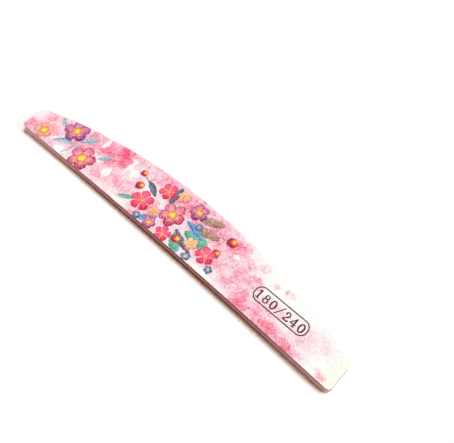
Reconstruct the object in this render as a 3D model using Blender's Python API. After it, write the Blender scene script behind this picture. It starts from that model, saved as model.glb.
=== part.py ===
"""Half-moon nail file, built as the bonded stack of sheets that it is cut from.

Metres, +Z up. The file lies flat with its printed face up and its grey zebra face down. +X runs along
its length, +Y points to the crowned edge, and the origin is the middle of the underside.

Every layer shares one outline: a crowned edge, a slightly hollow edge opposite, two square end cuts and
four rounded corners. A layer is lofted up that outline through rings. Each ring is the outline moved
out or in by a stated amount, which gives each material the side that a cutting die leaves on it.
"""
from math import asin, cos, pi, radians, sin

import bmesh
import bpy

# Outline
FILE_LENGTH = 0.178
FILE_WIDTH = 0.027
END_WIDTH = 0.0135
HOLLOW_DEPTH = 0.0013
CORNER_RADIUS = 0.002

# Layer thicknesses
SHEET_THICKNESS = 0.00045
ADHESIVE_THICKNESS = 0.0001
FOAM_THICKNESS = 0.001
CORE_THICKNESS = 0.0017

# Sides of the layers
SHEET_ROLL = 0.0002
ADHESIVE_SETBACK = 0.00006
FOAM_DRAW = 0.0002
CORE_EASE = 0.00012

# Facets, as counts
CROWN_STEPS = 64
HOLLOW_STEPS = 24
CORNER_STEPS = 8
ROLL_STEPS = 4
FOAM_STEPS = 6

SHARP_ANGLE = radians(40)


def clear_scene():
    """Removes whatever the scene holds."""
    for thing in list(bpy.data.objects):
        bpy.data.objects.remove(thing, do_unlink=True)


def material(name, colour, roughness):
    """Makes one plain Principled material from a linear colour."""
    made = bpy.data.materials.new(name)
    made.use_nodes = True
    shader = made.node_tree.nodes["Principled BSDF"]
    shader.inputs["Base Color"].default_value = (*colour, 1.0)
    shader.inputs["Roughness"].default_value = roughness
    shader.inputs["Metallic"].default_value = 0.0
    return made


def sweep(start, end, steps):
    """Angles from start to end, both included."""
    return [start + (end - start) * step / steps for step in range(steps + 1)]


def outline_stations():
    """One station per outline point, counterclockwise: centre x, centre y, radius, outward angle.

    A point lies at its centre plus its radius along its outward angle, so moving the whole outline
    out or in only changes the radii. The hollow edge curves the other way: its radius is negative.
    """
    corner_x = FILE_LENGTH / 2 - CORNER_RADIUS
    low_y = CORNER_RADIUS - FILE_WIDTH / 2
    high_y = low_y + END_WIDTH - 2 * CORNER_RADIUS

    # The crown touches both upper corner rounds from outside and reaches the full width
    drop = FILE_WIDTH / 2 - high_y
    crown_radius = (corner_x**2 + drop**2 - CORNER_RADIUS**2) / (2 * (drop - CORNER_RADIUS))
    crown_y = FILE_WIDTH / 2 - crown_radius
    crown_half = asin(corner_x / (crown_radius - CORNER_RADIUS))

    # The hollow touches both lower corner rounds and rises by its depth between them
    hollow_radius = (corner_x**2 + HOLLOW_DEPTH**2) / (2 * HOLLOW_DEPTH) - CORNER_RADIUS
    hollow_y = HOLLOW_DEPTH - FILE_WIDTH / 2 - hollow_radius
    hollow_half = asin(corner_x / (hollow_radius + CORNER_RADIUS))

    rounds = [
        (corner_x, low_y, -pi / 2 - hollow_half, 0.0),
        (corner_x, high_y, 0.0, pi / 2 - crown_half),
        (-corner_x, high_y, pi / 2 + crown_half, pi),
        (-corner_x, low_y, pi, 3 * pi / 2 + hollow_half),
    ]
    corners = [
        [(x, y, CORNER_RADIUS, angle) for angle in sweep(start, end, CORNER_STEPS)]
        for x, y, start, end in rounds
    ]
    crown_angles = sweep(pi / 2 - crown_half, pi / 2 + crown_half, CROWN_STEPS)[1:-1]
    crown = [(0.0, crown_y, crown_radius, angle) for angle in crown_angles]
    hollow_angles = sweep(3 * pi / 2 + hollow_half, 3 * pi / 2 - hollow_half, HOLLOW_STEPS)[1:-1]
    hollow = [(0.0, hollow_y, -hollow_radius, angle) for angle in hollow_angles]
    return corners[0] + corners[1] + crown + corners[2] + corners[3] + hollow


def outline(grow):
    """The outline's points, moved outwards by grow."""
    return [
        (x + (radius + grow) * cos(angle), y + (radius + grow) * sin(angle))
        for x, y, radius, angle in outline_stations()
    ]


def rolled_side(thickness, outer_face_up):
    """Side of an abrasive sheet: square at the bond, rolled over by the die at its outer face."""
    rings = [(0.0, 0.0)]
    for angle in sweep(0.0, pi / 2, ROLL_STEPS):
        rise = thickness - SHEET_ROLL + SHEET_ROLL * sin(angle)
        rings.append((rise, SHEET_ROLL * (cos(angle) - 1)))
    if outer_face_up:
        return rings
    return [(thickness - rise, grow) for rise, grow in reversed(rings)]


def drawn_side(thickness):
    """Side of a foam layer: flush at both bonds and drawn in between them."""
    shares = sweep(-1.0, 1.0, FOAM_STEPS)
    return [(thickness * (1 + share) / 2, FOAM_DRAW * (share**2 - 1)) for share in shares]


def eased_side(thickness):
    """Side of the core board: sawn square, with both arrises eased."""
    return [
        (0.0, -CORE_EASE),
        (CORE_EASE, 0.0),
        (thickness - CORE_EASE, 0.0),
        (thickness, -CORE_EASE),
    ]


def setback_side(thickness):
    """Side of an adhesive film, which stops a little short of the cut."""
    return [(0.0, -ADHESIVE_SETBACK), (thickness, -ADHESIVE_SETBACK)]


def add_ring(mesh, grow, height):
    """Adds one closed ring of the outline and gives back its vertices and edges."""
    verts = [mesh.verts.new((x, y, height)) for x, y in outline(grow)]
    edges = [mesh.edges.new((verts[i - 1], verts[i])) for i in range(len(verts))]
    return verts, edges


def add_layer(name, finish, underside, side, parent):
    """Lofts one layer from its underside up, closes both faces and adds it to the scene."""
    mesh = bmesh.new()
    rings = [add_ring(mesh, grow, underside + rise) for rise, grow in side]
    for (_, lower), (_, upper) in zip(rings, rings[1:]):
        bmesh.ops.bridge_loops(mesh, edges=lower + upper)
    mesh.faces.new(rings[0][0])
    mesh.faces.new(rings[-1][0])
    bmesh.ops.recalc_face_normals(mesh, faces=mesh.faces)
    for face in mesh.faces:
        face.smooth = True
    for edge in mesh.edges:
        edge.smooth = edge.calc_face_angle() < SHARP_ANGLE

    data = bpy.data.meshes.new(name)
    mesh.to_mesh(data)
    mesh.free()
    data.materials.append(finish)
    layer = bpy.data.objects.new(name, data)
    bpy.context.collection.objects.link(layer)
    layer.parent = parent


def build_file():
    """Stacks the nine bonded layers, from the grey face up to the printed face."""
    stack = bpy.data.objects.new("nail_file", None)
    bpy.context.collection.objects.link(stack)

    printed = material("printed_abrasive", (0.87, 0.56, 0.61), 0.75)
    zebra = material("zebra_abrasive", (0.75, 0.74, 0.73), 0.8)
    foam = material("foam", (0.78, 0.42, 0.47), 0.85)
    core = material("core_plastic", (0.52, 0.035, 0.11), 0.4)
    adhesive = material("adhesive", (0.62, 0.42, 0.42), 0.35)

    film = setback_side(ADHESIVE_THICKNESS)
    padding = drawn_side(FOAM_THICKNESS)
    layers = [
        ("zebra_abrasive_sheet", zebra, SHEET_THICKNESS, rolled_side(SHEET_THICKNESS, False)),
        ("lower_sheet_adhesive", adhesive, ADHESIVE_THICKNESS, film),
        ("lower_foam_layer", foam, FOAM_THICKNESS, padding),
        ("lower_core_adhesive", adhesive, ADHESIVE_THICKNESS, film),
        ("core_board", core, CORE_THICKNESS, eased_side(CORE_THICKNESS)),
        ("upper_core_adhesive", adhesive, ADHESIVE_THICKNESS, film),
        ("upper_foam_layer", foam, FOAM_THICKNESS, padding),
        ("upper_sheet_adhesive", adhesive, ADHESIVE_THICKNESS, film),
        ("printed_abrasive_sheet", printed, SHEET_THICKNESS, rolled_side(SHEET_THICKNESS, True)),
    ]
    underside = 0.0
    for name, finish, thickness, side in layers:
        add_layer(name, finish, underside, side, stack)
        underside += thickness


clear_scene()
build_file()
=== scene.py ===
"""Looks of the half-moon nail file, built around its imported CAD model.

The CAD frame is in metres: +X along the length, +Y to the crowned edge, +Z up to the printed face.
Both abrasive sheets, both foam layers and the core are detailed meshes that replace their CAD solids.
The adhesive films keep theirs. Every material is made of nodes that read object coordinates, turned
into millimetres, so sizes and places in the materials are millimetres on the real file.
"""
from math import atan2, cos, hypot, pi, radians, sin

import bpy
import numpy as np
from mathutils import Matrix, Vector, noise


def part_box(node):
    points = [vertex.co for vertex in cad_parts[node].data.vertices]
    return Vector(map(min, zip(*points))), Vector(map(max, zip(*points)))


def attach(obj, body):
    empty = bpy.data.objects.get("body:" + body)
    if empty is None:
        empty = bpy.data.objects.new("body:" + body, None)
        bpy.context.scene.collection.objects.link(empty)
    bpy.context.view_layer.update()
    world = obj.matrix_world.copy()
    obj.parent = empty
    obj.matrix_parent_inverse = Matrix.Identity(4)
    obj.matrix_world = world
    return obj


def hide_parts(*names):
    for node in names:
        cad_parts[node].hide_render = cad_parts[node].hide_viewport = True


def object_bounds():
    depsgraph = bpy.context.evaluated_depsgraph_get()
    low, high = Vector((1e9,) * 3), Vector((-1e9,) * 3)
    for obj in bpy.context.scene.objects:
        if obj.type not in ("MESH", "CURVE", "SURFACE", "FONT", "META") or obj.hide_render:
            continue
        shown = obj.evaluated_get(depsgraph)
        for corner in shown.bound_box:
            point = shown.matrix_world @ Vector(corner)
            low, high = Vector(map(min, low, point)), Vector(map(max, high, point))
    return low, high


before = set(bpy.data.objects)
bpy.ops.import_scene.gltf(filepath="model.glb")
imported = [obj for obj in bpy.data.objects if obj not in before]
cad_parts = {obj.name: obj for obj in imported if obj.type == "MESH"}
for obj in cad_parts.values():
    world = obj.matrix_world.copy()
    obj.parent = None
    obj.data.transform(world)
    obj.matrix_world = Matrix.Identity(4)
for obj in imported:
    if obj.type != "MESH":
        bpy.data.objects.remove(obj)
cad_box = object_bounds()

MM = 0.001

# Outline of the file and sides of its layers, as in the CAD source
END_WIDTH = 0.0135
HOLLOW_DEPTH = 0.0013
CORNER_RADIUS = 0.002
SHEET_ROLL = 0.0002
FOAM_DRAW = 0.0002
CORE_EASE = 0.00012

# Facets of the detailed meshes
COLUMN_STEP = 0.0002
CORNER_COLUMNS = 12
ROWS = 84
ROLL_POINTS = 6
FOAM_RINGS = 9
CORE_RINGS = 7
SHARP_ANGLE = radians(50)

# Camera, from the perspective fit of the photograph
CAMERA_PLACE = (0.0966, -0.0719, 0.1872)
CAMERA_AIM = (0.0147, 0.0148, 0.0)
CLIP_START = 0.01
FOCAL_PIXELS = 530.0
FRAME_PIXELS = 454.0
SENSOR = 36.0


def set_camera():
    """Camera at the photograph's viewing angle."""
    data = bpy.data.cameras.new("camera")
    data.sensor_width = SENSOR
    data.lens = SENSOR * FOCAL_PIXELS / FRAME_PIXELS
    data.clip_start = CLIP_START
    camera = bpy.data.objects.new("camera", data)
    bpy.context.scene.collection.objects.link(camera)
    camera.location = CAMERA_PLACE
    look = Vector(CAMERA_AIM) - Vector(CAMERA_PLACE)
    camera.rotation_euler = look.to_track_quat("-Z", "Y").to_euler()
    bpy.context.scene.camera = camera


class Field:
    """A number or colour that varies over the surface, so that formulas read as plain arithmetic."""

    def __init__(self, socket):
        self.socket = socket

    def __add__(self, other):
        return calc("ADD", self, other)

    def __radd__(self, other):
        return calc("ADD", other, self)

    def __sub__(self, other):
        return calc("SUBTRACT", self, other)

    def __rsub__(self, other):
        return calc("SUBTRACT", other, self)

    def __mul__(self, other):
        return calc("MULTIPLY", self, other)

    def __rmul__(self, other):
        return calc("MULTIPLY", other, self)

    def __truediv__(self, other):
        return calc("DIVIDE", self, other)

    def __pow__(self, other):
        return calc("POWER", self, other)

    def __abs__(self):
        return calc("ABSOLUTE", self)


def feed(slot, value):
    """Links a field to an input, or sets a plain value on it."""
    if isinstance(value, Field):
        slot.id_data.links.new(value.socket, slot)
    elif isinstance(value, tuple) and len(value) == 3 and len(slot.default_value) == 4:
        slot.default_value = (*value, 1.0)
    else:
        slot.default_value = value


def tree_of(*terms):
    """The node tree that the fields among the terms belong to."""
    return next(term.socket.id_data for term in terms if isinstance(term, Field))


def calc(operation, *terms):
    """One Math node."""
    node = tree_of(*terms).nodes.new("ShaderNodeMath")
    node.operation = operation
    for slot, term in zip(node.inputs, terms):
        feed(slot, term)
    return Field(node.outputs[0])


def clamp(value):
    """The value, held between 0 and 1."""
    return calc("MINIMUM", calc("MAXIMUM", value, 0.0), 1.0)


def lowest(*terms):
    """The least of the terms, point by point."""
    least = terms[0]
    for term in terms[1:]:
        least = calc("MINIMUM", least, term)
    return least


def highest(*terms):
    """The greatest of the terms, point by point."""
    most = terms[0]
    for term in terms[1:]:
        most = calc("MAXIMUM", most, term)
    return most


def distance(dx, dy):
    """Length of a step in the plane."""
    return calc("SQRT", dx * dx + dy * dy)


def ramp(value, start, end, low=0.0, high=1.0):
    """Smooth step from low at start to high at end."""
    node = tree_of(value, start, end, low, high).nodes.new("ShaderNodeMapRange")
    node.interpolation_type = "SMOOTHSTEP"
    node.clamp = False
    for slot, term in zip(node.inputs, (value, start, end, low, high)):
        feed(slot, term)
    return Field(node.outputs[0])


def blend(share, first, second, mode="MIX"):
    """The first colour turned into the second by the share, or mixed with it in another mode."""
    node = tree_of(share, first, second).nodes.new("ShaderNodeMix")
    node.data_type = "RGBA"
    node.blend_type = mode
    feed(node.inputs[0], share)
    feed(node.inputs[6], first)
    feed(node.inputs[7], second)
    return Field(node.outputs[2])


def tint(colour, density):
    """What a layer of see-through ink lets through: the colour to the power of its density."""
    node = tree_of(colour, density).nodes.new("ShaderNodeGamma")
    feed(node.inputs[0], colour)
    feed(node.inputs[1], density)
    return Field(node.outputs[0])


def texture(kind, place, scale, detail=2.0, roughness=0.5, output=0):
    """Noise or Voronoi texture over the place."""
    node = tree_of(place).nodes.new(kind)
    feed(node.inputs["Vector"], place)
    node.inputs["Scale"].default_value = scale
    node.inputs["Detail"].default_value = detail
    node.inputs["Roughness"].default_value = roughness
    return Field(node.outputs[output])


def cloud(place, scale, detail=2.0, roughness=0.5):
    """Noise from about 0.25 to 0.75."""
    return texture("ShaderNodeTexNoise", place, scale, detail, roughness)


def cells(place, scale):
    """Distance to the nearest of scattered points."""
    return texture("ShaderNodeTexVoronoi", place, scale, detail=0.0)


def spread(clouds, low, high):
    """Noise stretched from low to high over the range that it mostly keeps to."""
    return ramp(clouds, 0.3, 0.7, low, high)


def parts(value):
    """The three numbers of a vector or colour."""
    node = tree_of(value).nodes.new("ShaderNodeSeparateXYZ")
    feed(node.inputs[0], value)
    return [Field(output) for output in node.outputs]


def vector(x, y, z):
    """A vector of three numbers."""
    node = tree_of(x, y, z).nodes.new("ShaderNodeCombineXYZ")
    for slot, term in zip(node.inputs, (x, y, z)):
        feed(slot, term)
    return Field(node.outputs[0])


def wander(x, y, place, scale, detail, roughness, reach):
    """Plan coordinates pushed about by noise, by up to half the reach, and one more noise."""
    push = parts(texture("ShaderNodeTexNoise", place, scale, detail, roughness, output=1))
    return x + reach * (push[0] - 0.5), y + reach * (push[1] - 0.5), push[2]


def new_material(name):
    """A Principled material, with its shader and its place on the piece in millimetres."""
    made = bpy.data.materials.new(name)
    made.use_nodes = True
    tree = made.node_tree
    where = tree.nodes.new("ShaderNodeTexCoord")
    scaled = tree.nodes.new("ShaderNodeVectorMath")
    scaled.operation = "SCALE"
    scaled.inputs["Scale"].default_value = 1 / MM
    tree.links.new(where.outputs["Object"], scaled.inputs[0])
    return made, tree.nodes["Principled BSDF"], Field(scaled.outputs[0])


def dress(shader, colour, roughness, relief, depth):
    """Gives a shader its colour, its roughness and a fine relief that is depth millimetres high."""
    feed(shader.inputs["Base Color"], colour)
    feed(shader.inputs["Roughness"], roughness)
    node = shader.id_data.nodes.new("ShaderNodeBump")
    node.inputs["Strength"].default_value = 1.0
    node.inputs["Distance"].default_value = depth * MM
    feed(node.inputs["Height"], relief)
    feed(shader.inputs["Normal"], Field(node.outputs[0]))


def srgb(red, green, blue):
    """Linear colour from 0 to 255 screen values."""
    return tuple(
        share / 12.92 if share <= 0.04045 else ((share + 0.055) / 1.055) ** 2.4
        for share in (red / 255, green / 255, blue / 255)
    )


# Colours of the printed face
BARE_PAPER = srgb(253, 253, 249)
AGED_PAPER = srgb(255, 253, 243)
WASH = srgb(255, 90, 126)
HEART_YELLOW = srgb(255, 232, 110)
HEART_ORANGE = srgb(240, 130, 60)
STAMENS = srgb(250, 200, 90)
BERRY_GLINT = srgb(255, 225, 95)
BERRY_LIGHT = srgb(245, 120, 90)
BERRY_DEEP = srgb(175, 35, 70)
SPECKS = srgb(215, 150, 180)
FLECKS = srgb(205, 195, 180)
LABEL_INK = srgb(72, 16, 4)
WORN_PRINT = srgb(236, 200, 198)
ROLLED_PRINT = srgb(196, 116, 124)

# Colours of the zebra face
ZEBRA_HOLLOW = srgb(216, 211, 207)
ZEBRA_RIDGE = srgb(253, 251, 249)
ZEBRA_PATCH = srgb(242, 226, 218)
ZEBRA_SHADED_RIM = srgb(128, 98, 82)

# Colours of the cuts, from dark to pale
PRINT_CUT = (srgb(180, 100, 108), srgb(220, 144, 152))
ZEBRA_CUT = (srgb(104, 74, 56), srgb(132, 98, 78))
CORE_CUT = (srgb(178, 40, 66), srgb(212, 70, 92))
CORE_STRESS = srgb(222, 120, 150)
FOAM_CUT = (srgb(206, 150, 150), srgb(240, 202, 200))
FOAM_PATCH = srgb(222, 170, 168)
FILM_CUT = (srgb(120, 84, 78), srgb(176, 136, 130))

# Painted light towards the ends of the hollow edge, painted shade in its middle, and the painted shade
# of lower and upper foam
PAINTED_LIGHT = srgb(242, 192, 184)
PAINTED_SHADE = srgb(236, 222, 208)
FOAM_PAINTED_SHADE = (srgb(218, 178, 142), srgb(214, 160, 170))


def start_group(name, numbers, colours, result="NodeSocketColor"):
    """Starts a node group with colour and number inputs, and gives back its tree and those inputs."""
    tree = bpy.data.node_groups.new(name, "ShaderNodeTree")
    for colour in colours:
        tree.interface.new_socket(colour, in_out="INPUT", socket_type="NodeSocketColor")
    for number in numbers:
        tree.interface.new_socket(number, in_out="INPUT", socket_type="NodeSocketFloat")
    tree.interface.new_socket("Result", in_out="OUTPUT", socket_type=result)
    source = tree.nodes.new("NodeGroupInput")
    return tree, [Field(socket) for socket in source.outputs[: len(colours) + len(numbers)]]


def end_group(tree, result):
    """Ends a node group with its result, and gives back its tree."""
    feed(tree.nodes.new("NodeGroupOutput").inputs[0], result)
    return tree


def use_group(group, *values):
    """One use of a group, its inputs in order."""
    node = tree_of(*values).nodes.new("ShaderNodeGroup")
    node.node_tree = group
    for slot, value in zip(node.inputs, values):
        feed(slot, value)
    return Field(node.outputs[0])


def blossom_group():
    """Five-petalled painted blossom with a darker rim, folds between petals and a yellow heart."""
    tree, fields = start_group(
        "blossom",
        ("X", "Y", "Centre X", "Centre Y", "Radius", "Turn", "Pigment", "Heart", "Fold"),
        ("Under", "Light", "Deep", "Rim", "Line"),
    )
    under, light, deep, rim, line, x, y, cx, cy, radius, turn, pigment, heart, fold = fields
    dx = x - cx
    dy = y - cy
    away = distance(dx, dy)
    angle = calc("ARCTAN2", dy, dx) + turn
    lobe = abs(calc("COSINE", angle * 2.5))
    share = away / (radius * (0.6 + 0.4 * lobe**0.5))
    inside = ramp(share, 1.02, 0.97)

    lean = (0.6 * dx - 0.8 * dy) / radius
    shade = 0.9 * share**1.5 - 0.1 + 0.3 * (1 - lobe) + 0.3 * lean + 4.2 * (pigment - 0.5)
    petal = blend(clamp(shade), light, deep)
    petal = blend(ramp(lean + share + 3.0 * (pigment - 0.5), 0.7, 1.9) * 0.75, petal, rim)
    petal = blend(ramp(share, 0.86, 0.99) * 0.5, petal, rim)
    crease = ramp(lobe, 0.3, 0.0) * ramp(share, 0.15, 0.3)
    petal = blend(crease * fold, petal, line)

    reach = away / (radius * heart)
    middle = blend(ramp(reach + pigment, 0.7, 1.5), HEART_YELLOW, HEART_ORANGE)
    petal = blend(ramp(reach, 1.04, 0.9), petal, middle)
    dots = calc("COSINE", angle * 11.0) * ramp(abs(reach - 1.3), 0.3, 0.1)
    petal = blend(ramp(dots, 0.5, 0.8) * 0.8, petal, STAMENS)
    return end_group(tree, blend(inside, under, petal))


def leaf_group():
    """Painted leaf or stem from a base, along a direction, with a bend and a pale vein."""
    tree, fields = start_group(
        "leaf",
        ("X", "Y", "Base X", "Base Y", "Cosine", "Sine", "Length", "Width", "Bend", "Taper", "Pigment"),
        ("Under", "Light", "Deep"),
    )
    under, light, deep, x, y, bx, by, c, s, length, width, bend, taper, pigment = fields
    dx = x - bx
    dy = y - by
    along = (dx * c + dy * s) / length
    hump = highest(4.0 * along * (1 - along), 0.0)
    across = dy * c - dx * s - bend * hump
    half = 0.5 * width * hump**taper
    inside = ramp(half - abs(across), 0.0, 0.16)
    side = ramp(across / width, -0.3, 0.3)
    shade = 0.75 - 0.5 * side + 5.0 * (pigment - 0.5) - 0.35 * hump
    leaf = blend(clamp(shade), light, deep)
    leaf = blend(ramp(abs(across) / width, 0.06, 0.02) * 0.35, leaf, light)
    rim = ramp(half - abs(across), 0.3, 0.1)
    leaf = blend(rim * 0.4, leaf, deep)
    return end_group(tree, blend(inside, under, leaf))


def berry_group():
    """Small painted round, yellow on its lit side and deep on the other."""
    tree, fields = start_group(
        "berry", ("X", "Y", "Centre X", "Centre Y", "Radius", "Pigment"), ("Under", "Light", "Deep")
    )
    under, light, deep, x, y, cx, cy, radius, pigment = fields
    dx = (x - cx) / radius
    dy = (y - cy) / radius
    away = distance(dx, dy)
    lit = distance(dx - 0.25, dy - 0.35)
    shade = ramp(lit + pigment - 0.5, 0.35, 1.0)
    ball = blend(shade, light, deep)
    ball = blend(ramp(lit + 1.4 * (pigment - 0.5), 0.5, 0.25), ball, BERRY_GLINT)
    return end_group(tree, blend(ramp(away, 1.04, 0.92), under, ball))


def pool_group():
    """Adds one soft pool of wash to the ink density."""
    tree, fields = start_group(
        "pool",
        ("Under", "X", "Y", "Centre X", "Centre Y", "Half width", "Half height", "Soft", "Amount"),
        (),
        "NodeSocketFloat",
    )
    under, x, y, cx, cy, half_x, half_y, soft, amount = fields
    dx = (x - cx) / half_x
    dy = (y - cy) / half_y
    away = distance(dx, dy)
    body = ramp(away, 1 + soft, 1 - soft)
    edge = ramp(abs(away - 0.95), 0.16, 0.0) * ramp(soft, 0.4, 0.1)
    return end_group(tree, under + amount * (body + 0.35 * edge))


# Wash pools: centre x, centre y, half width, half height, softness, density
POOLS = [
    (-34.0, 0.0, 74.0, 24.0, 0.14, 0.08),
    (-84.5, -9.5, 5.0, 4.0, 0.7, 0.19),
    (-80.5, -1.5, 4.5, 3.0, 0.6, 0.13),
    (-73.0, -8.0, 6.0, 4.0, 0.7, 0.10),
    (-71.0, 3.0, 8.0, 4.0, 0.6, 0.12),
    (-57.0, 1.5, 6.5, 6.0, 0.6, 0.24),
    (-61.0, -8.0, 6.0, 4.0, 0.6, 0.08),
    (-41.5, 3.5, 7.0, 5.8, 0.45, 0.42),
    (-45.0, 6.5, 6.0, 4.0, 0.5, 0.24),
    (-35.5, 8.0, 6.0, 3.5, 0.5, 0.14),
    (-41.0, -7.0, 7.0, 4.0, 0.7, 0.09),
    (-27.0, -5.0, 9.0, 5.0, 0.6, 0.10),
    (-21.0, 9.0, 9.0, 4.0, 0.6, 0.12),
    (-12.0, -7.0, 9.0, 5.0, 0.6, 0.12),
    (-3.0, 9.0, 10.0, 5.0, 0.5, 0.20),
    (9.0, 7.0, 10.0, 6.0, 0.6, 0.15),
    (21.0, 6.0, 9.0, 5.0, 0.5, 0.12),
    (29.5, 7.0, 5.0, 3.6, 0.35, 0.12),
    (22.0, -4.0, 10.0, 6.0, 0.6, 0.10),
    (35.0, -3.0, 8.0, 6.0, 0.6, 0.10),
    (46.0, -9.0, 9.0, 3.5, 0.6, 0.19),
    (55.0, -11.5, 13.0, 3.0, 0.5, 0.25),
    (67.0, -11.5, 8.0, 2.6, 0.6, 0.24),
    (59.0, -5.0, 15.0, 4.5, 0.7, 0.10),
    (76.0, -3.0, 6.0, 5.0, 0.7, 0.06),
    (83.5, -11.5, 2.2, 1.8, 0.5, 0.17),
    (37.5, 5.2, 2.8, 2.6, 0.3, 0.12),
    (43.0, 6.8, 2.2, 2.0, 0.25, 0.09),
    (43.5, -0.5, 3.4, 2.8, 0.35, 0.16),
    (57.0, 5.0, 2.2, 1.8, 0.25, 0.12),
    (50.5, 3.6, 1.5, 1.3, 0.3, 0.08),
]

# White gaps left in the wash: centre x, centre y, half width, half height
GAPS = [
    (-29.0, 3.0, 2.8, 2.6),
    (-38.5, -5.0, 2.4, 3.6),
    (-33.0, 4.0, 1.5, 5.5),
    (-50.5, 5.5, 1.6, 3.4),
    (-64.0, -11.0, 4.0, 2.2),
    (31.0, 3.0, 1.8, 1.4),
    (25.0, -11.2, 7.0, 1.6),
    (-24.0, -11.2, 7.0, 1.3),
]

CRIMSON = (srgb(255, 178, 200), srgb(212, 38, 86), srgb(150, 22, 72), srgb(150, 28, 82))
VIOLET = (srgb(245, 165, 205), srgb(176, 38, 104), srgb(112, 26, 90), srgb(110, 24, 84))
HOT = (srgb(255, 120, 150), srgb(240, 40, 88), srgb(215, 25, 72), srgb(255, 232, 222))
PALE = (srgb(255, 215, 190), srgb(240, 140, 150), srgb(225, 110, 125), srgb(230, 120, 130))
PEACH = (srgb(255, 226, 190), srgb(245, 178, 130), srgb(225, 120, 90), srgb(230, 140, 110))
BLUE_FLOWER = (srgb(120, 170, 215), srgb(45, 95, 165), srgb(35, 70, 140), srgb(30, 60, 120))

# Blossoms: centre x, centre y, radius, turn in degrees, heart share, fold strength, colours
BLOSSOMS = [
    (-66.5, 1.0, 6.4, 20, 0.34, 0.6, VIOLET),
    (-52.5, -7.4, 6.7, 50, 0.38, 0.5, CRIMSON),
    (-78.2, -8.8, 4.8, 10, 0.5, 0.4, PALE),
    (-16.2, -4.2, 5.2, 35, 0.18, 0.9, HOT),
    (-11.2, 6.4, 4.2, 0, 0.20, 0.9, HOT),
    (-4.4, 9.0, 3.0, 30, 0.30, 0.4, PEACH),
    (-1.6, -0.6, 5.9, 70, 0.36, 0.5, CRIMSON),
    (5.8, 7.8, 4.3, 15, 0.38, 0.5, VIOLET),
    (1.8, -9.4, 3.7, 40, 0.20, 0.9, HOT),
    (13.6, -5.0, 3.1, 5, 0.30, 0.4, PEACH),
    (21.6, -5.0, 4.3, 20, 0.18, 0.9, HOT),
    (-8.6, -4.8, 3.0, 25, 0.34, 0.4, PALE),
    (-6.0, -9.6, 3.1, 60, 0.36, 0.5, VIOLET),
    (16.0, -10.4, 2.1, 25, 0.35, 0.3, BLUE_FLOWER),
    (26.6, -8.6, 1.8, 60, 0.35, 0.3, BLUE_FLOWER),
    (-12.6, -10.6, 2.0, 45, 0.35, 0.3, BLUE_FLOWER),
    (10.6, 2.6, 1.9, 10, 0.35, 0.3, BLUE_FLOWER),
]

SLATE_BLUE = (srgb(190, 215, 225), srgb(82, 118, 150))
TEAL = (srgb(130, 205, 180), srgb(30, 105, 92))
TAUPE = (srgb(205, 165, 145), srgb(120, 80, 66))
DARK_SLATE = (srgb(125, 135, 150), srgb(40, 46, 62))
BLUE_LEAF = (srgb(130, 180, 225), srgb(30, 75, 150))

# Leaves and stems: base x, base y, tip x, tip y, width, bend, taper, colours
LEAVES = [
    (-60.5, -2.5, -54.0, 4.8, 3.0, 0.5, 0.8, SLATE_BLUE),
    (-61.5, -4.5, -71.0, -10.0, 2.6, -0.8, 0.8, SLATE_BLUE),
    (-61.0, -3.5, -62.5, -11.8, 0.8, 0.9, 0.2, SLATE_BLUE),
    (-71.5, -1.0, -77.5, 2.4, 2.2, 0.4, 0.8, SLATE_BLUE),
    (-47.0, -3.0, -42.6, 3.0, 2.4, -0.4, 0.8, SLATE_BLUE),
    (-60.8, -3.0, -57.5, -5.5, 0.8, 0.3, 0.2, SLATE_BLUE),
    (7.5, -2.6, 20.8, -3.2, 6.2, 0.7, 0.7, TEAL),
    (5.5, -4.6, 11.8, -12.2, 5.2, -0.5, 0.7, TEAL),
    (8.2, 5.4, 18.6, 9.8, 4.2, 0.5, 0.8, TAUPE),
    (8.6, 2.6, 21.6, 4.0, 4.2, -0.5, 0.8, TAUPE),
    (4.6, 1.6, 15.4, -1.2, 2.8, 0.5, 0.8, BLUE_LEAF),
    (4.0, -4.0, 16.6, -8.6, 3.0, -0.6, 0.8, DARK_SLATE),
    (-6.2, 2.0, -7.6, 11.8, 3.6, 0.5, 0.7, DARK_SLATE),
    (-5.2, -5.0, -12.4, -11.6, 3.0, 0.5, 0.8, BLUE_LEAF),
    (-13.2, 0.6, -21.8, 4.6, 3.0, -0.4, 0.75, DARK_SLATE),
    (-19.6, -5.6, -26.2, -9.2, 2.4, 0.4, 0.8, TEAL),
    (19.0, 4.0, 23.6, 6.0, 0.6, 0.3, 0.2, TAUPE),
    (-20.6, 4.2, -24.6, 5.6, 0.5, 0.2, 0.2, DARK_SLATE),
]

# Berries: centre x, centre y, radius
BERRIES = [
    (25.4, 6.6, 2.2),
    (24.0, -1.4, 1.9),
    (-26.0, 6.0, 1.7),
    (-22.6, 0.4, 2.1),
    (7.6, -7.6, 1.9),
]


def outline_numbers():
    """Radii and centres of the outline's arcs, from the same sizes as the CAD model."""
    low, high = cad_box
    half_x = high.x
    half_y = high.y
    r = CORNER_RADIUS
    corner_x = half_x - r
    low_y = r - half_y
    high_y = low_y + END_WIDTH - 2 * r
    drop = half_y - high_y
    crown_r = (corner_x**2 + drop**2 - r**2) / (2 * (drop - r))
    hollow_r = (corner_x**2 + HOLLOW_DEPTH**2) / (2 * HOLLOW_DEPTH) - r
    return {
        "half_x": half_x,
        "corner_x": corner_x,
        "low_y": low_y,
        "high_y": high_y,
        "crown_r": crown_r,
        "crown_y": half_y - crown_r,
        "hollow_r": hollow_r,
        "hollow_y": HOLLOW_DEPTH - half_y - hollow_r,
    }


SHAPE = outline_numbers()


def edge_distance(x, y):
    """Distance in millimetres from the outline, for wear along the edges."""
    crown = distance(x, y - SHAPE["crown_y"] / MM)
    hollow = distance(x, y - SHAPE["hollow_y"] / MM)
    return lowest(
        SHAPE["crown_r"] / MM - crown, hollow - SHAPE["hollow_r"] / MM, SHAPE["half_x"] / MM - abs(x)
    )


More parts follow.
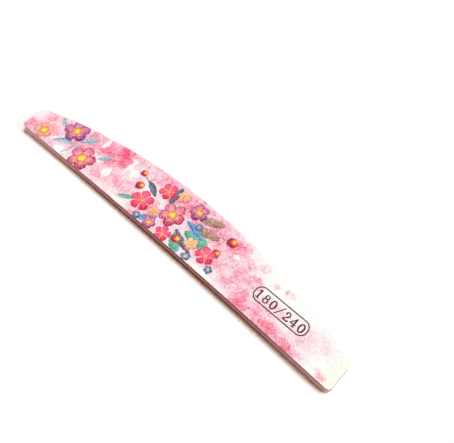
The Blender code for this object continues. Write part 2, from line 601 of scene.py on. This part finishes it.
def bar(x, y, left, right, bottom, top):
    """Inside of an upright rectangle, as a distance that is positive inside."""
    wide = (right - left) / 2 - abs(x - (left + right) / 2)
    tall = (top - bottom) / 2 - abs(y - (bottom + top) / 2)
    return lowest(wide, tall)


def stroke(x, y, x0, y0, x1, y1, width):
    """Inside of a straight stroke between two points."""
    length = hypot(x1 - x0, y1 - y0)
    c = (x1 - x0) / length
    s = (y1 - y0) / length
    along = (x - x0) * c + (y - y0) * s
    across = (y - y0) * c - (x - x0) * s
    return lowest(width / 2 - abs(across), along, length - along)


def loop(x, y, cx, cy, half_x, half_y, thick, thin):
    """Inside of an oval ring with thick sides and a thin top and bottom."""
    dx = x - cx
    dy = y - cy
    outer = distance(dx / half_x, dy / half_y)
    inner_x = half_x - thick
    inner_y = half_y - thin
    inner = distance(dx / inner_x, dy / inner_y)
    return lowest((1 - outer) * half_x, (inner - 1) * inner_x)


def digit(shape, x, y):
    """Inside of one upright digit, 4 mm tall, or of the slash, centred on x = 0, y = 0."""
    if shape == "1":
        return highest(
            bar(x, y, -0.28, 0.28, -1.95, 1.95),
            bar(x, y, -0.85, 0.85, -2.0, -1.74),
            stroke(x, y, -0.85, 1.25, 0.2, 1.85, 0.3),
        )
    if shape == "8":
        return highest(
            loop(x, y, 0, 1.0, 1.0, 1.0, 0.4, 0.2),
            loop(x, y, 0, -0.85, 1.2, 1.15, 0.46, 0.2),
        )
    if shape == "0":
        return loop(x, y, 0, 0, 1.3, 2.0, 0.52, 0.2)
    if shape == "2":
        hook = lowest(loop(x, y, 0, 0.8, 1.12, 1.2, 0.42, 0.22), highest(y - 0.8, x - 0.05))
        return highest(
            hook,
            stroke(x, y, 0.95, 0.62, -1.05, -1.75, 0.36),
            bar(x, y, -1.15, 1.2, -2.0, -1.6),
            stroke(x, y, 1.1, -1.9, 1.3, -1.15, 0.22),
            0.3 - distance(x + 0.82, y - 0.85),
        )
    if shape == "4":
        return highest(
            bar(x, y, 0.2, 0.7, -2.0, 2.0),
            bar(x, y, -0.2, 1.1, -2.0, -1.76),
            bar(x, y, -1.3, 1.3, -0.98, -0.72),
            stroke(x, y, 0.55, 1.95, -1.25, -0.85, 0.26),
        )
    return stroke(x, y, -1.25, -2.35, 1.25, 2.35, 0.24)


# Grit label: its frame, the scale and level of its signs, and the middle of each sign along it
LABEL_LEFT = 45.5
LABEL_RIGHT = 70.5
LABEL_BOTTOM = -5.6
LABEL_TOP = 1.2
LABEL_ROUND = 3.0
LABEL_LINE = 0.46
SIGN_SCALE = 0.93
SIGN_LEVEL = -2.4
SIGNS = [("1", 47.9), ("8", 51.2), ("0", 54.6), ("/", 57.9), ("2", 61.2), ("4", 64.5), ("0", 67.9)]

# How far inside the frame's line, and inside a sign, the ink starts and is full
LINE_RISE = (-0.08, 0.04)
SIGN_RISE = (-0.18, -0.04)


def label_ink(x, y):
    """Share of ink of the grit label: a rounded frame around the numbers."""
    half_x = (LABEL_RIGHT - LABEL_LEFT) / 2
    half_y = (LABEL_TOP - LABEL_BOTTOM) / 2
    dx = highest(abs(x - (LABEL_LEFT + LABEL_RIGHT) / 2) - (half_x - LABEL_ROUND), 0.0)
    dy = highest(abs(y - (LABEL_BOTTOM + LABEL_TOP) / 2) - (half_y - LABEL_ROUND), 0.0)
    ring = LABEL_LINE / 2 - abs(distance(dx, dy) - LABEL_ROUND + LABEL_LINE / 2)
    ink = ramp(ring, *LINE_RISE)
    for shape, middle in SIGNS:
        inside = digit(shape, (x - middle) / SIGN_SCALE, (y - SIGN_LEVEL) / SIGN_SCALE)
        ink = highest(ink, ramp(inside, *SIGN_RISE))
    return ink


# Overlapping coats of wash: scale of the noise that shapes each, and its level at the coat's rim
WASH_COATS = [(0.16, 0.5), (0.3, 0.52)]


def wash_density(wx, wy, px, py, drift, pigment, grain):
    """Density of the pink wash: soft pools, white gaps, and coats with a darker rim."""
    pool = pool_group()
    density = 0.0
    for cx, cy, half_x, half_y, soft, amount in POOLS:
        density = use_group(pool, density, wx, wy, cx, cy, half_x, half_y, soft, amount)
    for cx, cy, half_x, half_y in GAPS:
        away = abs(px - cx) / half_x + abs(py - cy) / half_y
        density = density * ramp(away, 0.85, 1.15, 0.12, 1.0)
    density = density * spread(pigment, 0.8, 1.25)
    density = density * ramp(drift, 0.34, 0.58, 0.55, 1.3)
    for scale, level in WASH_COATS:
        coat = cloud(vector(px, py, 40.0 * level), scale, 1.0)
        density = density * (0.85 + ramp(coat, level - 0.012, level + 0.012) * 0.3)
        density = density * (1 + ramp(abs(coat - level - 0.01), 0.016, 0.0) * 0.22)
    return density * spread(grain, 0.8, 1.25)


def with_sprays(colour, px, py, crayon):
    """The colour with the floral sprays over it: leaves, then berries, then blossoms."""
    leaf = leaf_group()
    for x0, y0, x1, y1, width, bend, taper, colours in LEAVES:
        turn = atan2(y1 - y0, x1 - x0)
        base = (px, py, x0, y0, cos(turn), sin(turn))
        form = (hypot(x1 - x0, y1 - y0), width, bend, taper)
        colour = use_group(leaf, colour, *colours, *base, *form, crayon)
    berry = berry_group()
    for cx, cy, radius in BERRIES:
        colour = use_group(berry, colour, BERRY_LIGHT, BERRY_DEEP, px, py, cx, cy, radius, crayon)
    blossom = blossom_group()
    for cx, cy, radius, turn, heart, fold, colours in BLOSSOMS:
        form = (px, py, cx, cy, radius, radians(turn), crayon, heart, fold)
        colour = use_group(blossom, colour, *colours, *form)
    return colour


def with_grain(colour, place, density, grain):
    """The colour under the grain of the clear abrasive coat."""
    speck = ramp(cloud(place, 1.9, 1.0), 0.5, 0.66) * clamp(3.0 * density)
    colour = tint(colour, spread(grain, 0.7, 1.4))
    colour = blend(speck * 0.7, colour, SPECKS, "MULTIPLY")
    colour = blend(0.8, colour, cloud(place, 1.3, 2.0, 0.7), "OVERLAY")
    fleck = ramp(cloud(place, 1.6, 0.0), 0.68, 0.78)
    return blend(fleck * 0.45, colour, FLECKS, "MULTIPLY")


# Noise that pushes the sprays and the wash about: scale, detail, roughness, reach in millimetres
SPRAY_WANDER = (0.5, 3.0, 0.55, 1.5)
WASH_WANDER = (0.16, 4.0, 0.6, 7.0)

# Where along the file its paper starts to look aged and is fully so, and how far in it is worn
AGED_STRETCH = (82.0, 88.0)
WORN_REACH = 0.3

# The printed face, and the depths below it between which the print ends on the rolled rim
PRINT_TOP = cad_box[1].z / MM
PRINT_END = (0.05, 0.14)


def printed_face():
    """Printed abrasive paper: pink wash, floral sprays, the grit label and a coat of fine grain."""
    made, shader, place = new_material("printed_face")
    x, y, z = parts(place)
    px, py, _ = wander(x, y, place, *SPRAY_WANDER)
    pigment = cloud(place, 0.8, 4.0, 0.62)
    grain = cloud(place, 2.4, 2.0, 0.6)
    wx, wy, drift = wander(x, y, place, *WASH_WANDER)

    density = wash_density(wx, wy, px, py, drift, pigment, grain)
    colour = blend(1.0, BARE_PAPER, tint(WASH, density), "MULTIPLY")
    colour = blend(ramp(wx, *AGED_STRETCH), colour, AGED_PAPER, "MULTIPLY")
    colour = with_sprays(colour, px, py, cloud(place, 1.4, 3.0, 0.7))
    colour = with_grain(colour, place, density, grain)

    # Label, and paper that shows where the print is worn at the rim
    ink = label_ink(x, y) * ramp(grain, 0.2, 0.5, 0.88, 1.0)
    colour = blend(ink, colour, LABEL_INK)
    worn = ramp(edge_distance(x, y) + 0.5 * (grain - 0.5), WORN_REACH, 0.0)
    colour = blend(worn * 0.4, colour, WORN_PRINT)
    colour = blend(ramp(PRINT_TOP - z, *PRINT_END), colour, ROLLED_PRINT)
    dress(shader, colour, spread(grain, 0.8, 0.6), cloud(place, 2.2, 2.0, 0.7), 0.2)
    shader.inputs["Specular IOR Level"].default_value = 0.25
    return made


# Painted light on the cuts, lifting their shade near the hollow edge's ends. Along the file: its
# middle, and how far from there it starts and is full. Up the cut: where it is full and where it has
# thinned out. Across the file: where it is thin and where full
PAINTED_LIGHT_MIDDLE = 8.0
PAINTED_LIGHT_REACH = (32.0, 95.0)
PAINTED_LIGHT_HEIGHT = (1.0, 3.0)
PAINTED_LIGHT_SIDE = (-8.0, -12.0)

# Painted shade on the middle stretch of the hollow edge: its middle, how far from there it starts and
# is full, and where across the file it does so
PAINTED_SHADE_MIDDLE = 5.0
PAINTED_SHADE_REACH = (30.0, 6.0)
PAINTED_SHADE_SIDE = (-8.0, -11.0)


def painted_light_and_shade(colour, x, y, z):
    """The colour of a cut with painted light, most of it low on the hollow edge's ends, and painted
    shade between.
    """
    # Painted light: a pale tone that lifts the shade low on the hollow edge's ends
    near_ends = ramp(abs(x - PAINTED_LIGHT_MIDDLE), *PAINTED_LIGHT_REACH)
    low_down = ramp(z, *PAINTED_LIGHT_HEIGHT, 1.0, 0.34)
    share = near_ends * low_down * ramp(y, *PAINTED_LIGHT_SIDE, 0.2, 1.0)
    # Painted shade: a darker tone multiplied in over the middle of the hollow edge
    middle_shade = ramp(abs(x - PAINTED_SHADE_MIDDLE), *PAINTED_SHADE_REACH) * ramp(y, *PAINTED_SHADE_SIDE)
    return blend(middle_shade, blend(share, colour, PAINTED_LIGHT), PAINTED_SHADE, "MULTIPLY")


# Zebra face: heights that tell hollow from ridge, and how far in its rim of painted shade starts and is
# full
RIDGE_HEIGHTS = (0.08, 0.01)
SHADED_RIM_REACH = (0.25, 0.1)


def zebra_face():
    """Pale grey abrasive: bright wavy ridges over grey hollows, told apart by their height."""
    made, shader, place = new_material("zebra_face")
    x, y, z = parts(place)
    grain = cloud(place, 2.6, 2.0, 0.6)
    patch = cloud(place, 0.05, 2.0)
    ridge = ramp(z + 0.03 * (grain - 0.5), *RIDGE_HEIGHTS)
    colour = blend(ridge, ZEBRA_HOLLOW, ZEBRA_RIDGE)
    colour = blend(ramp(patch, 0.45, 0.7) * 0.3, colour, ZEBRA_PATCH)
    colour = tint(colour, spread(grain, 0.8, 1.25))
    # Dark brown rim along the outline: painted shade, itself lifted by painted light near the hollow
    # edge's ends
    rim = ramp(edge_distance(x, y) + 0.15 * (grain - 0.5), *SHADED_RIM_REACH)
    colour = blend(rim, colour, painted_light_and_shade(ZEBRA_SHADED_RIM, x, y, z))
    dress(shader, colour, spread(grain, 0.85, 0.6), cloud(place, 3.5, 2.0, 0.7), 0.04)
    return made


def cut_paper(name, tones):
    """Cut edge of an abrasive sheet: paper fibres and broken grain."""
    made, shader, place = new_material(name)
    x, y, z = parts(place)
    fibre = cloud(place, 3.0, 3.0, 0.65)
    # Painted light near the hollow edge's ends and painted shade in its middle
    colour = painted_light_and_shade(blend(ramp(fibre, 0.35, 0.65), *tones), x, y, z)
    dress(shader, colour, spread(fibre, 0.95, 0.8), fibre, 0.05)
    return made


# Across the file, where the cuts of foam and core start to belong to the hollow edge and do so fully
HOLLOW_SIDE = (-4.0, -10.0)

# Foam: its cells to the millimetre, the heights that tell the lower layer from the upper one, and the
# middle of its painted shade along the file, with how far from there that starts and is full
FOAM_CELLS = 4.5
FOAM_HEIGHTS = (2.0, 3.0)
FOAM_SHADE_MIDDLE = 4.0
FOAM_SHADE_REACH = (84.0, 42.0)

# Core: heights between which its painted light grows, and the share of the height that its drag marks
# follow
CORE_LIGHT_HEIGHT = (3.1, 2.0)
DRAG_SHARE = 0.15


def cut_foam():
    """Cut side of closed-cell foam: small open cells in pale pink, with painted shade on the hollow
    edge.
    """
    made, shader, place = new_material("cut_foam")
    x, y, z = parts(place)
    pit = cells(place, FOAM_CELLS)
    patch = cloud(place, 0.4, 2.0)
    colour = blend(ramp(pit, 0.1, 0.5), *FOAM_CUT)
    colour = blend(ramp(patch, 0.4, 0.65) * 0.3, colour, FOAM_PATCH)
    # Painted shade on the hollow edge's foam: brown on the lower layer, dusky pink on the upper one,
    # over the cuts' painted light and shade
    foam_shade = blend(ramp(z, *FOAM_HEIGHTS), *FOAM_PAINTED_SHADE)
    share = ramp(y, *HOLLOW_SIDE) * ramp(abs(x - FOAM_SHADE_MIDDLE), *FOAM_SHADE_REACH)
    colour = blend(share, painted_light_and_shade(colour, x, y, z), foam_shade, "MULTIPLY")
    dress(shader, colour, ramp(pit, 0.0, 0.5, 0.95, 0.8), pit, 0.12)
    return made


def cut_core():
    """Die-cut plastic edge: upright drag marks, a few pale stress marks, painted light on the hollow
    edge.
    """
    made, shader, place = new_material("cut_core")
    x, y, z = parts(place)
    drag = cloud(vector(x, y, DRAG_SHARE * z), 3.0, 3.0, 0.6)
    patch = cloud(place, 0.35, 3.0)
    colour = blend(ramp(drag, 0.35, 0.65), *CORE_CUT)
    colour = blend(ramp(patch, 0.6, 0.72) * 0.5, colour, CORE_STRESS)
    # Painted light on the hollow edge's core, stronger low down, over the painted light and shade of
    # the cuts
    share = ramp(y, *HOLLOW_SIDE) * ramp(z, *CORE_LIGHT_HEIGHT, 0.3, 0.46)
    colour = blend(share, painted_light_and_shade(colour, x, y, z), PAINTED_LIGHT)
    dress(shader, colour, spread(drag, 0.35, 0.6), drag, 0.05)
    return made


def adhesive_film():
    """Clear acrylic film that has picked up dust along the cut."""
    made, shader, place = new_material("adhesive_film")
    dust = cloud(place, 1.8, 3.0, 0.6)
    colour = blend(ramp(dust, 0.4, 0.65), *FILM_CUT)
    dress(shader, colour, ramp(dust, 0.35, 0.65, 0.3, 0.7), dust, 0.02)
    return made


def edge_stations():
    """Low and high edge at each grid column: points and outward directions, in metres."""
    corner_x = SHAPE["corner_x"]
    hollow_r = SHAPE["hollow_r"]
    crown_r = SHAPE["crown_r"]
    middle = np.linspace(-corner_x, corner_x, round(2 * corner_x / COLUMN_STEP))
    bends = corner_x + CORNER_RADIUS * np.sin(np.linspace(0, pi / 2, CORNER_COLUMNS + 1)[1:])
    x = np.concatenate([-bends[::-1], middle, bends])

    past = np.clip(np.abs(x) - corner_x, 0, CORNER_RADIUS)
    corner_rise = np.sqrt(CORNER_RADIUS**2 - past**2)
    corner_nx = np.sign(x) * past / CORNER_RADIUS
    corner_ny = corner_rise / CORNER_RADIUS

    hollow = np.abs(x) < corner_x * (1 - CORNER_RADIUS / (hollow_r + CORNER_RADIUS))
    hollow_rise = np.sqrt(hollow_r**2 - np.where(hollow, x, 0) ** 2)
    low_y = np.where(hollow, SHAPE["hollow_y"] + hollow_rise, SHAPE["low_y"] - corner_rise)
    low_n = np.where(hollow, (-x / hollow_r, -hollow_rise / hollow_r), (corner_nx, -corner_ny))

    crown = np.abs(x) < corner_x * (1 + CORNER_RADIUS / (crown_r - CORNER_RADIUS))
    crown_rise = np.sqrt(crown_r**2 - x**2)
    high_y = np.where(crown, SHAPE["crown_y"] + crown_rise, SHAPE["high_y"] + corner_rise)
    high_n = np.where(crown, (x / crown_r, crown_rise / crown_r), (corner_nx, corner_ny))
    return np.stack([x, low_y], 1), low_n.T, np.stack([x, high_y], 1), high_n.T


LOW, LOW_OUT, HIGH, HIGH_OUT = edge_stations()
COLUMNS = len(LOW)
EVEN = [np.zeros(COLUMNS)] * 2


def rim_order():
    """Column and row of the grid's boundary points, once round, counterclockwise from above."""
    right = COLUMNS - 1
    top = ROWS - 1
    columns = [*range(right + 1), *[right] * top, *range(right - 1, -1, -1), *[0] * (top - 1)]
    rows = [*[0] * COLUMNS, *range(1, top + 1), *[top] * right, *range(top - 1, 0, -1)]
    return np.array(columns), np.array(rows)


RIM = rim_order()


def plan(grow, uneven):
    """Grid of points over the outline moved outwards by grow, and inwards by the uneven amounts."""
    low = LOW + LOW_OUT * (grow - uneven[0])[:, None]
    high = HIGH + HIGH_OUT * (grow - uneven[1])[:, None]
    share = np.linspace(0, 1, ROWS)[None, :, None]
    return low[:, None, :] * (1 - share) + high[:, None, :] * share


def wavy(points, scale, height):
    """Noise from 0 to height at each point, a period of about scale long."""
    return np.array([height * (0.5 + 0.5 * noise.noise(Vector(p) / scale)) for p in points])


def with_z(points, z):
    """Adds a height, or one per point, to plan points."""
    return np.concatenate([points, np.broadcast_to(z, len(points))[:, None]], 1)


# Wear of a sheet's long edges: period of its broad and of its fine noise
WEAR_BROAD = 0.0016
WEAR_FINE = 0.0005

# Slow wave of a sheet's end cuts: how far in it reaches, and its period in millimetres
WAVE_REACH = 0.004
WAVE_PERIOD = 2.2


def edge_wear(seed, height):
    """How far the low and high edge stand back from the die line, fading out at the end cuts."""
    amounts = []
    for points, out in ((LOW, LOW_OUT), (HIGH, HIGH_OUT)):
        at = with_z(points, seed)
        rough = wavy(at, WEAR_BROAD, height * 0.6) + wavy(at, WEAR_FINE, height * 0.4)
        amounts.append(rough * (1 - out[:, 0] ** 2))
    return amounts


def end_wave(points, seed, height):
    """Moves points near the end cuts inwards by a slow wave, so that a cut isn't dead straight."""
    moved = points.copy()
    side = np.sign(points[:, 0])
    near = np.clip(1 - (SHAPE["half_x"] - np.abs(points[:, 0])) / WAVE_REACH, 0, 1) ** 2
    at = np.stack([side, points[:, 1] / MM, np.full(len(points), seed)], 1)
    moved[:, 0] -= side * near * wavy(at, WAVE_PERIOD, height)
    return moved


def add_piece(name, node, verts, faces, finishes, finish_of):
    """Makes the mesh, gives it its materials, and puts it in the place of its CAD node."""
    data = bpy.data.meshes.new(name)
    data.from_pydata(verts.tolist(), [], faces)
    for finish in finishes:
        data.materials.append(finish)
    data.polygons.foreach_set("material_index", finish_of)
    data.polygons.foreach_set("use_smooth", [True] * len(faces))
    data.set_sharp_from_angle(angle=SHARP_ANGLE)
    data.update()
    piece = bpy.data.objects.new(name, data)
    bpy.context.scene.collection.objects.link(piece)
    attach(piece, "root")
    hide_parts(node)


def flat_cap(ring, up):
    """Closes a ring with one strip of faces across the width."""
    between = ROWS - 2
    low = ring[:COLUMNS]
    right = ring[COLUMNS : COLUMNS + between]
    high = ring[COLUMNS + between : 2 * COLUMNS + between][::-1]
    left = ring[2 * COLUMNS + between :]
    faces = []
    for i in range(COLUMNS - 1):
        face = [low[i], low[i + 1]]
        if i == COLUMNS - 2:
            face += right
        face += [high[i + 1], high[i]]
        if i == 0:
            face += left
        faces.append(face if up else face[::-1])
    return faces


def add_points(verts, points):
    """Adds points to the vertices and gives back their numbers."""
    first = len(verts)
    verts.extend(points)
    return list(range(first, len(verts)))


def side_faces(rings):
    """Side faces between each ring and the next."""
    return [
        [low[i - 1], low[i], high[i], high[i - 1]]
        for low, high in zip(rings, rings[1:])
        for i in range(len(low))
    ]


# Depth of the ring on a sheet's cut side between its roll and its bond, as a share of the sheet
PAPER_RING = 0.6


def sheet(name, node, finishes, relief, face_up, seed, wear, wave):
    """An abrasive sheet: its outer face is a fine grid with real relief, its side is rolled over.

    The first finish is the outer face's and the second is the cut paper's. The long edges stand back
    from the die line by up to wear, and the end cuts by up to wave.
    """
    low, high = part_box(node)
    thick = high.z - low.z
    uneven = edge_wear(seed, wear)
    angles = np.linspace(0, pi / 2, ROLL_POINTS)
    paper = [(0.0, thick), (0.0, PAPER_RING * thick)]
    roll = [(SHEET_ROLL * (cos(angle) - 1), SHEET_ROLL * (1 - sin(angle))) for angle in angles]

    def at_depth(points, depth):
        """Plan points at a depth, or one each, below the outer face."""
        z = high.z - depth if face_up else low.z + depth
        return with_z(end_wave(points, seed, wave), z)

    verts = []
    rings = [
        add_points(verts, at_depth(plan(grow, uneven)[RIM], depth)) for grow, depth in paper + roll
    ]
    inner = plan(roll[-1][0], uneven)[1:-1, 1:-1].reshape(-1, 2)
    numbers = add_points(verts, at_depth(inner, relief(inner)))
    grid = np.zeros((COLUMNS, ROWS), int)
    grid[RIM] = rings[-1]
    grid[1:-1, 1:-1] = np.reshape(numbers, (COLUMNS - 2, ROWS - 2))
    corners = [grid[:-1, :-1], grid[1:, :-1], grid[1:, 1:], grid[:-1, 1:]]

    top = np.stack(corners, -1).reshape(-1, 4).tolist()
    side = side_faces(rings)
    cap = flat_cap(rings[0], up=False)
    faces = top + side + cap
    if not face_up:
        faces = [face[::-1] for face in faces]
    cut = len(paper) * len(rings[0])
    finish_of = [0] * len(top) + [1] * cut + [0] * (len(side) - cut) + [1] * len(cap)
    add_piece(name, node, np.array(verts), faces, finishes, finish_of)


# How far foam and core stand back under the sheets at the end cuts, and how fast that fades past them
END_TUCK = 0.00014
TUCK_FADE = 8

# Share of the side's roughness that is left at the bonds
BOND_SHARE = 0.3


def slab(name, node, slot, finish, profile, period, height, climb):
    """A foam layer or the core: a rough side wall in fine rings, and flat faces at the bonds.

    The profile gives each ring's growth and its share of the thickness. The roughness is noise of the
    given period and height, and below 1 climb stretches it upright.
    """
    low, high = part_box(node)
    base = plan(0.0, EVEN)[RIM]
    out = (plan(MM, EVEN)[RIM] - base) / MM
    tuck = END_TUCK * out[:, 0] ** TUCK_FADE
    verts = []
    rings = []
    for grow, share in profile:
        z = low.z + share * (high.z - low.z)
        if 0 < share < 1:
            inset = wavy(with_z(base, z * climb), period, height)
        else:
            inset = wavy(with_z(base, low.z), period, height * BOND_SHARE)
        ring = base + out * (grow - inset - tuck)[:, None]
        rings.append(add_points(verts, with_z(ring, z)))
    faces = side_faces(rings) + flat_cap(rings[0], up=False) + flat_cap(rings[-1], up=True)
    add_piece(name, node, np.array(verts), faces, [finish], [0] * len(faces))


# Grain of the printed face: period and depth of its fine and of its coarse noise
FINE_GRAIN = (0.0007, 0.02 * MM)
COARSE_GRAIN = (0.0025, 0.015 * MM)

# Streaks of the zebra face, in millimetres: how far apart they are, and how deep the hollows
STREAK_PITCH = 1.2
STREAK_DEPTH = 0.085


def printed_relief(points):
    """Depth of the fine grain below the printed face."""
    return wavy(with_z(points, 0.0), *FINE_GRAIN) + wavy(with_z(points, 0.01), *COARSE_GRAIN)


def noise_at(x, y, layer):
    """Noise from about -1 to 1 at a point, another pattern in each layer."""
    return noise.noise(Vector((x, y, layer)))


def zebra_relief(points):
    """Depth of the hollows between the wavy ridges that run across the zebra face."""
    depths = []
    for x, y in points / MM:
        sway = noise_at(x * 0.35, y * 0.3, 3.0)
        jag = noise_at(x * 0.9, y * 0.9, 5.0)
        strength = 0.75 + 0.9 * noise_at(x * 0.9, y * 0.5, 7.0)
        streak = sin(2 * pi * (x / STREAK_PITCH + 0.8 * sway + 0.45 * jag)) * strength
        rough = noise_at(x * 1.8, y * 1.4, 11.0)
        depths.append(min(max(0.5 + 0.6 * streak + 0.3 * rough, 0.0), 1.0))
    return np.array(depths) * STREAK_DEPTH * MM


# Wear of each sheet's long edges, and the wave of its end cuts
PRINTED_WEAR = 0.00008
PRINTED_WAVE = 0.00004
ZEBRA_WEAR = 0.00005
ZEBRA_WAVE = 0.0003

# Roughness of the cut sides: period and height
FOAM_ROUGHNESS = (0.0006, 0.0001)
CORE_ROUGHNESS = (0.0005, 0.00004)

# How fast the core's roughness changes with the height: the die draws its marks upright
CORE_CLIMB = 0.2


def build_sheets():
    """The printed sheet on top and the zebra sheet below, each with the cut edge of its paper."""
    sheet(
        "printed_sheet",
        "printed_abrasive_sheet",
        [printed_face(), cut_paper("cut_print", PRINT_CUT)],
        printed_relief,
        face_up=True,
        seed=1.0,
        wear=PRINTED_WEAR,
        wave=PRINTED_WAVE,
    )
    sheet(
        "zebra_sheet",
        "zebra_abrasive_sheet",
        [zebra_face(), cut_paper("cut_zebra", ZEBRA_CUT)],
        zebra_relief,
        face_up=False,
        seed=2.0,
        wear=ZEBRA_WEAR,
        wave=ZEBRA_WAVE,
    )


def build_foam():
    """The two foam layers, each drawn in between its bonds."""
    foam = cut_foam()
    drawn = [(FOAM_DRAW * (share**2 - 1), (1 + share) / 2) for share in np.linspace(-1, 1, FOAM_RINGS)]
    slab("upper_foam", "upper_foam_layer", "foam", foam, drawn, *FOAM_ROUGHNESS, climb=1.0)
    slab("lower_foam", "lower_foam_layer", "foam", foam, drawn, *FOAM_ROUGHNESS, climb=1.0)


def build_core():
    """The core board, with both arrises eased."""
    low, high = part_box("core_board")
    ease = CORE_EASE / (high.z - low.z)
    eased = [(0.0, level) for level in np.linspace(ease, 1 - ease, CORE_RINGS)]
    profile = [(-CORE_EASE, 0.0), *eased, (-CORE_EASE, 1.0)]
    slab("core", "core_board", "core_plastic", cut_core(), profile, *CORE_ROUGHNESS, climb=CORE_CLIMB)


def finish_films():
    """Gives the adhesive films of the CAD model their material."""
    film = adhesive_film()
    for name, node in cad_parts.items():
        if name.endswith("_adhesive"):
            node.material_slots[0].material = film


# Lamps: name, strength, colour, width in degrees, direction. In their light and the sky's together,
# a white surface looks white
LAMPS = [
    ("warm", 1.79, (1.0, 0.58, 0.38), 28, (-0.21, -0.2, -1.0)),
    ("cool", 2.24, (0.47, 0.819, 1.0), 25, (-0.34, -0.31, -1.0)),
    ("low", 0.9, (0.75, 1.0, 1.0), 11, (-1.5, -0.34, -1.0)),
]
SKY = (0.045, 0.026, 0.018)

# Weak lamps in front of the hollow edge's ends: name, power, place
FILLS = [
    ("left_fill", 0.2, (-0.19, -0.11, 0.025)),
    ("right_fill", 0.06, (0.17, -0.09, 0.02)),
]
FILL_COLOUR = (1.0, 0.96, 0.92)
FILL_SIZE = 0.03

# Floor: half its side, how far it lies under the file, and its colour
FLOOR_HALF = 3.0
FLOOR_DROP = 0.02 * MM
FLOOR_WHITE = (0.99, 0.99, 0.99, 1.0)


def floor_material():
    """White that keeps the shadow, and is clear from below, where it would hide the file."""
    made = bpy.data.materials.new("floor")
    made.use_nodes = True
    tree = made.node_tree
    shader = tree.nodes["Principled BSDF"]
    shader.inputs["Base Color"].default_value = FLOOR_WHITE
    shader.inputs["Roughness"].default_value = 0.9
    shader.inputs["Specular IOR Level"].default_value = 0.0
    clear = tree.nodes.new("ShaderNodeBsdfTransparent")
    side = tree.nodes.new("ShaderNodeNewGeometry")
    mix = tree.nodes.new("ShaderNodeMixShader")
    tree.links.new(side.outputs["Backfacing"], mix.inputs[0])
    tree.links.new(shader.outputs[0], mix.inputs[1])
    tree.links.new(clear.outputs[0], mix.inputs[2])
    tree.links.new(mix.outputs[0], tree.nodes["Material Output"].inputs["Surface"])
    return made


def build_floor():
    """Plain pale floor."""
    corners = [(x * FLOOR_HALF, y * FLOOR_HALF, 0) for x, y in ((-1, -1), (1, -1), (1, 1), (-1, 1))]
    data = bpy.data.meshes.new("floor")
    data.from_pydata(corners, [], [(0, 1, 2, 3)])
    data.materials.append(floor_material())
    floor = bpy.data.objects.new("floor", data)
    floor.location.z = -FLOOR_DROP
    bpy.context.scene.collection.objects.link(floor)


def build_lamps():
    """Soft lamps from behind on the right, and weak ones in front of the hollow edge's ends."""
    for name, strength, colour, spread_angle, direction in LAMPS:
        sun = bpy.data.lights.new(name, "SUN")
        sun.energy = strength
        sun.color = colour
        sun.angle = radians(spread_angle)
        lamp = bpy.data.objects.new(name, sun)
        lamp.rotation_euler = Vector(direction).to_track_quat("-Z", "Y").to_euler()
        bpy.context.scene.collection.objects.link(lamp)

    for name, power, place in FILLS:
        point = bpy.data.lights.new(name, "POINT")
        point.energy = power
        point.color = FILL_COLOUR
        point.shadow_soft_size = FILL_SIZE
        lamp = bpy.data.objects.new(name, point)
        lamp.location = place
        lamp.visible_camera = False
        bpy.context.scene.collection.objects.link(lamp)


def build_sky():
    """Dim sky on the object, white where the camera, gloss or glass sees it."""
    world = bpy.data.worlds.new("world")
    bpy.context.scene.world = world
    world.use_nodes = True
    tree = world.node_tree
    ray = tree.nodes.new("ShaderNodeLightPath")
    seen = highest(
        Field(ray.outputs["Is Camera Ray"]),
        Field(ray.outputs["Is Glossy Ray"]),
        Field(ray.outputs["Is Transmission Ray"]),
    )
    feed(tree.nodes["Background"].inputs["Color"], blend(seen, SKY, (1.0, 1.0, 1.0)))


set_camera()
build_sheets()
build_foam()
build_core()
finish_films()
build_floor()
build_lamps()
build_sky()
bpy.context.scene.view_settings.view_transform = "Standard"
